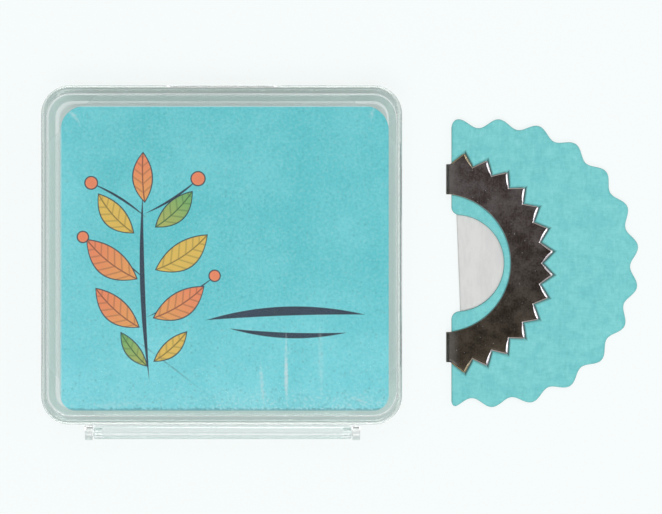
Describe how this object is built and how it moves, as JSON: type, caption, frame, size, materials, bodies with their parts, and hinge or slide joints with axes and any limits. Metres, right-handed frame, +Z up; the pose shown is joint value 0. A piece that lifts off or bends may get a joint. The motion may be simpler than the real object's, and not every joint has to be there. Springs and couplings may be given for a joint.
{
  "type": "mouth bird call with case",
  "caption": "Half-round mouth bird call: a folded toothed metal frame clamps a thin membrane between scalloped tape skirts; beside it, its hinged clear pocket case with a card in the lid.",
  "frame": {"origin": "centre of the flat underside of the closed case, where it rests on the table", "axes": "+X from the case towards the call, along the case's hinge; +Y from the hinge towards the case's front; +Z up"},
  "size_m": [0.087, 0.0515, 0.01],
  "materials": {
    "clear_base": "polished clear moulding",
    "clear_lid": "polished clear moulding",
    "printed_card": "matt printed card",
    "frame_metal": "dark mottled, brushed, bright on the pressed tooth edges",
    "skirt_tape": "matt soft tape",
    "membrane_film": "milky translucent film"
  },
  "bodies": {
    "case_base": {"case_base": "clear_base"},
    "case_lid": {"case_lid": "clear_lid", "title_card": "printed_card"},
    "call": {"reed_frame": "frame_metal", "skirt_upper": "skirt_tape", "skirt_lower": "skirt_tape", "reed_membrane": "membrane_film"}
  },
  "joints": [
    {"name": "lid_hinge", "type": "hinge", "parent": "case_base", "child": "case_lid", "pos_m": [0, -0.0259, 0.005], "axis": [1, 0, 0], "range_deg": [0, 180]},
    {"name": "call_lift", "type": "slide", "parent": "case_base", "child": "call", "axis": [0, 0, 1], "range_m": [0, 0.03]}
  ]
}
